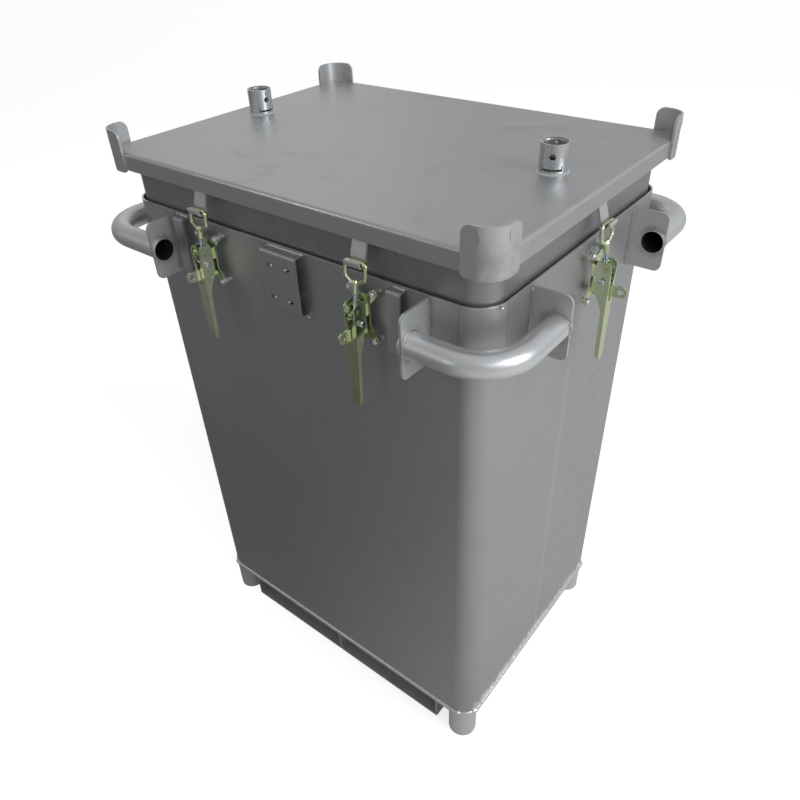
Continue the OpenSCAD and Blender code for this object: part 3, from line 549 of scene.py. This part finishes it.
corner_runs = []
for k, (sx, sy) in enumerate(CORNERS):
    middle = (sx * (WALL_L / 2 - WALL_R), sy * (WALL_W / 2 - WALL_R), FLOOR_Z + 0.001)
    corner_runs += [turn(middle, WALL_R + 0.001, 90 * k + start, 90 * k + end) for start, end in ((8, 26), (62, 84))]
beads("corner_floor_beads", "box", corner_runs, 0.0050, ripple=0.34, seed=29)
beads("collar_foot_bead", "box", [loop(WALL_L, WALL_W, WALL_R, COLLAR_LOW)], 0.0016, ripple=0.10, seed=5)

# %% Beads of the handles
PLATE_HALF, PLATE_T = 0.052, 0.002
plate_paths, ring_paths = [], []
for sx in (-1, 1):
    for sy in (-1, 1):
        low, high = COLLAR_MID - PLATE_HALF + 0.002, COLLAR_MID + PLATE_HALF - 0.002
        across = PLATE_WIDE if sx * sy > 0 else PLATE_SHORT
        for face in (-PLATE_T, PLATE_T):
            x, y = sx * across + face, sy * PLATE_Y + face
            plate_paths.append(run((x, sy * COLLAR_W / 2, low), (x, sy * COLLAR_W / 2, high)))
            plate_paths.append(run((sx * COLLAR_L / 2, y, low), (sx * COLLAR_L / 2, y, high)))
            ring_paths.append(turn((x, sy * TUBE_Y, COLLAR_MID), TUBE_R, 0, 360, (0, 1, 0), (0, 0, 1)))
            ring_paths.append(turn((sx * TUBE_X, y, COLLAR_MID), TUBE_R, 0, 360, (1, 0, 0), (0, 0, 1)))
beads("handle_plate_beads", "box", plate_paths, 0.0022, root_bead, seed=7)
beads("handle_ring_beads", "box", ring_paths, 0.0014, root_bead, seed=11)

# %% Beads of the bracket, the loops, the feet and the corner guides
BRACKET, LOOPS = (-0.0275, 0.0495), ((-0.2495, -0.2245), (0.2245, 0.2495))
FRONT_LOW, FRONT_HIGH = 0.976, 1.080
FOOT_X, FOOT_Y, FOOT_TOP, FOOT_R = 0.34485, 0.24785, 0.0860, 0.03015
GUIDE_X, GUIDE_Y, GUIDE_FOOT, GUIDE_R = 0.37, 0.27, 1.1705, 0.0285

edge_paths = []
for x0, x1 in (BRACKET, *LOOPS):
    for z in (FRONT_LOW, FRONT_HIGH):
        edge_paths.append(run((x0 + 0.001, -COLLAR_W / 2, z), (x1 - 0.001, -COLLAR_W / 2, z)))
beads("bracket_beads", "box", edge_paths, 0.0019, seed=13)

foot_paths = [turn((sx * FOOT_X, sy * FOOT_Y, FOOT_TOP), FOOT_R, 0, 360) for sx in (-1, 1) for sy in (-1, 1)]
beads("foot_beads", "box", foot_paths, 0.0022, seed=17)

guide_paths = [turn((sx * GUIDE_X, sy * GUIDE_Y, GUIDE_FOOT), GUIDE_R, 90 * k - 2, 90 * k + 92)
               for k, (sx, sy) in enumerate(CORNERS)]
beads("guide_beads", "lid", guide_paths, 0.0014, ripple=0.10, seed=19)

# %% [markdown]
# ## Spatter and tacks
#
# Drops of weld metal stick to the sheet beside a bead, and a tack is one dip
# of the rod. Both are small flattened balls, half sunk in the sheet. They are
# drawn with a seed, so each run puts them in the same places.

# %% Drops of weld metal
def drops(name, body, spots, finish=bead_steel, seed=1):
    """one piece of small flattened balls; a spot is its place, its outward direction and its radius"""
    draw = random.Random(seed)
    bm = bmesh.new()
    for place, out, radius in spots:
        upright = Vector(out).to_track_quat("Z", "Y").to_matrix().to_4x4()
        shape = Matrix.Diagonal((draw.uniform(0.9, 1.2), draw.uniform(0.8, 1.1), 0.6, 1.0))
        matrix = Matrix.Translation(place) @ upright @ shape
        bmesh.ops.create_icosphere(bm, subdivisions=2, radius=radius, matrix=matrix)
    for face in bm.faces:
        face.smooth = True
    return settle(name, bm, body, finish)


print("drops ready")

# %% Spatter beside the floor's bead, and four tacks
draw = random.Random(31)
spots = []
for sx in (-1, 1):
    for k in range(46):
        y = draw.uniform(-side_y, side_y)
        spots.append(((sx * WALL_L / 2, y, FLOOR_Z + 0.004 + draw.random() ** 2 * 0.016), (sx, 0, 0),
                      draw.uniform(0.0007, 0.0020)))
for sy in (-1, 1):
    for k in range(18):
        x = draw.uniform(-0.33, 0.33)
        spots.append(((x, sy * WALL_W / 2, FLOOR_Z + 0.004 + draw.random() ** 2 * 0.008), (0, sy, 0),
                      draw.uniform(0.0006, 0.0013)))
drops("floor_spatter", "box", spots, seed=37)

tacks = [((0.3865, -0.256, COLLAR_MID + 0.0545), (0.4, 0, 1), 0.0035),
         ((0.049, -0.2865, 1.082), (0, -0.6, 1), 0.0034),
         ((0.049, -0.2865, 0.973), (0, -1, -0.4), 0.0032),
         ((-0.252, -0.2865, 1.081), (0, -0.6, 1), 0.0026)]
drops("tacks", "box", tacks, seed=41)

# %% [markdown]
# ## Threads on the stems
#
# The stem of each latch is screwed through its trunnion. A thread this fine
# reads as a stack of ridges, so a saw-tooth line is spun round the stem's own
# axis. The stem leans back by a few degrees towards the hook, on the line from
# the trunnion to the bow's bar.

# %% Spin the threads
COLLAR_HALF = {"long": COLLAR_W / 2, "short": COLLAR_L / 2}
LATCHES = [("front_left", 0, -0.159, "long"), ("front_right", 0, 0.181, "long"), ("rear_right", 180, -0.159, "long"),
           ("rear_left", 180, 0.181, "long"), ("right", 90, 0.004, "short"), ("left", 270, 0.004, "short")]
TRUNNION_OUT, TRUNNION_UP, BAR_OUT, BAR_UP = 0.0325, -0.004, 0.0225, 0.086
LEAN = math.atan2(TRUNNION_OUT - BAR_OUT, BAR_UP - TRUNNION_UP)


def latch_place(turned, along, side):
    """matrix from a latch's own axes, outwards along -Y, to its place on the collar"""
    return (Matrix.Rotation(math.radians(turned), 4, "Z")
            @ Matrix.Translation((along, -COLLAR_HALF[side], COLLAR_MID)))


def stem_line(turned, along, side):
    """matrix from the stem's own +Z to the line from the trunnion to the bar"""
    return (latch_place(turned, along, side) @ Matrix.Translation((0, -TRUNNION_OUT, TRUNNION_UP))
            @ Matrix.Rotation(-LEAN, 4, "X"))


def thread(name, body, place, start, end, root, crest, pitch, finish):
    """ridges from start to end along the stem's own +Z"""
    bm = bmesh.new()
    count = round((end - start) / pitch)
    points = []
    for k in range(count):
        points += [(root, start + k * pitch), (crest, start + (k + 0.5) * pitch)]
    points.append((root, start + count * pitch))
    line = [bm.verts.new((r, 0, z)) for r, z in points]
    edges = [bm.edges.new(pair) for pair in zip(line, line[1:])]
    bmesh.ops.spin(bm, geom=line + edges, cent=(0, 0, 0), axis=(0, 0, 1), angle=math.tau, steps=20,
                   use_merge=True)
    bmesh.ops.remove_doubles(bm, verts=bm.verts, dist=1e-6)
    open_ends = [e for e in bm.edges if e.is_boundary]
    bmesh.ops.holes_fill(bm, edges=open_ends, sides=0)
    bmesh.ops.recalc_face_normals(bm, faces=bm.faces)
    bmesh.ops.transform(bm, matrix=place, verts=bm.verts)
    return settle(name, bm, body, finish)


for name, turned, along, side in LATCHES:
    thread("thread_" + name, "latch_bow_" + name, stem_line(turned, along, side), start=0.0045, end=0.0435,
           root=0.0029, crest=0.0033, pitch=0.001, finish=blue_zinc)

# %% [markdown]
# ## Floor and light
#
# Sheet steel shows what it mirrors. The front mirrors the floor before it and
# the right wall mirrors the floor behind it, so light and shade on the box are
# made there: floor and room are pale behind and to the right, and shaded at
# the front left, as beside a dark wall. To the camera the floor is pale all
# over. One large soft lamp hangs above and to the right, a weaker one
# behind. Three small ones in front give the plated latches their glints.

# %% The floor's plane
bm = bmesh.new()
bmesh.ops.create_grid(bm, x_segments=1, y_segments=1, size=30.0)
floor_mesh = bpy.data.meshes.new("floor")
bm.to_mesh(floor_mesh)
bm.free()
floor = bpy.data.objects.new("floor", floor_mesh)
bpy.context.collection.objects.link(floor)
print("floor of", len(floor_mesh.polygons), "face")

# %% The floor's paint and glow
FLOOR_SHADE, FLOOR_FAR, FLOOR_PALE = 0.11, 0.14, 0.74
ground = Finish("pale_floor")
seen = ground.node("ShaderNodeLightPath", {}, {}, "Is Camera Ray")
mirrored = ground.node("ShaderNodeLightPath", {}, {}, "Is Glossy Ray")
x, y = ground.axis("X"), ground.axis("Y")
shade = ground.ramp(x, 1.0, -0.5) * ground.ramp(y, 0.1, -0.5)
level = FLOOR_PALE - shade * (FLOOR_PALE - FLOOR_SHADE) + ground.ramp(x + y, -1.4, -4.6, 0.0, FLOOR_FAR)
paint = ground.node("ShaderNodeCombineColor", {}, {0: level * 1.01, 1: level, 2: level * 0.985})
lit = ground.node("ShaderNodeBsdfDiffuse", {}, {"Color": paint})
glow = seen * (1.07 - level * 0.62) + mirrored * 0.03
white = ground.node("ShaderNodeEmission", {}, {"Color": grey(1.0), "Strength": glow})
both = ground.node("ShaderNodeAddShader", {}, {0: lit, 1: white})
ground.tree.links.new(both.socket, ground.output.inputs["Surface"])
floor.data.materials.append(ground.material)
print("floor from", FLOOR_SHADE, "in the shade to", FLOOR_PALE)

# %% Lamps
def soft_lamp(name, place, target, size, power):
    lamp = bpy.data.objects.new(name, bpy.data.lights.new(name, "AREA"))
    lamp.data.shape = "DISK"
    lamp.data.size, lamp.data.energy = size, power
    lamp.data.color = (0.95, 0.98, 1.0)
    lamp.location = place
    lamp.rotation_euler = (Vector(target) - Vector(place)).to_track_quat("-Z", "Y").to_euler()
    bpy.context.collection.objects.link(lamp)
    return lamp


soft_lamp("high_right", (3.4, 0.0, 2.6), (0, 0, 0.8), 2.0, 70)
soft_lamp("rear_left", (-3.2, 2.4, 2.6), (0, 0, 1.1), 2.4, 3.5)
for k, place in enumerate(((-1.9, -2.2, 2.2), (-0.6, -3.0, 1.7), (2.6, -1.6, 2.4))):
    soft_lamp("glint_%d" % k, place, (0, 0, 0.9), 0.5, 3)
print("lamps:", len(bpy.data.lights))

# %% Room
ROOM_SHADE, ROOM_PALE = 0.27, 0.56
room = Finish("room", bpy.data.worlds, "ShaderNodeOutputWorld", "Generated")
facing = room.axis("X") * 0.7 + room.axis("Y") + room.axis("Z") * 0.5
level = room.ramp(facing, -1.1, 0.5, ROOM_SHADE, ROOM_PALE)
seen = room.node("ShaderNodeLightPath", {}, {}, "Is Camera Ray")
air = room.node("ShaderNodeBackground", {}, {"Color": (0.97, 0.985, 1.0, 1.0),
                                             "Strength": level + seen * (1.0 - level)})
room.tree.links.new(air.socket, room.output.inputs["Surface"])
bpy.context.scene.world = room.material
bpy.context.scene.view_settings.view_transform = "Standard"
print("room from", ROOM_SHADE, "to", ROOM_PALE)
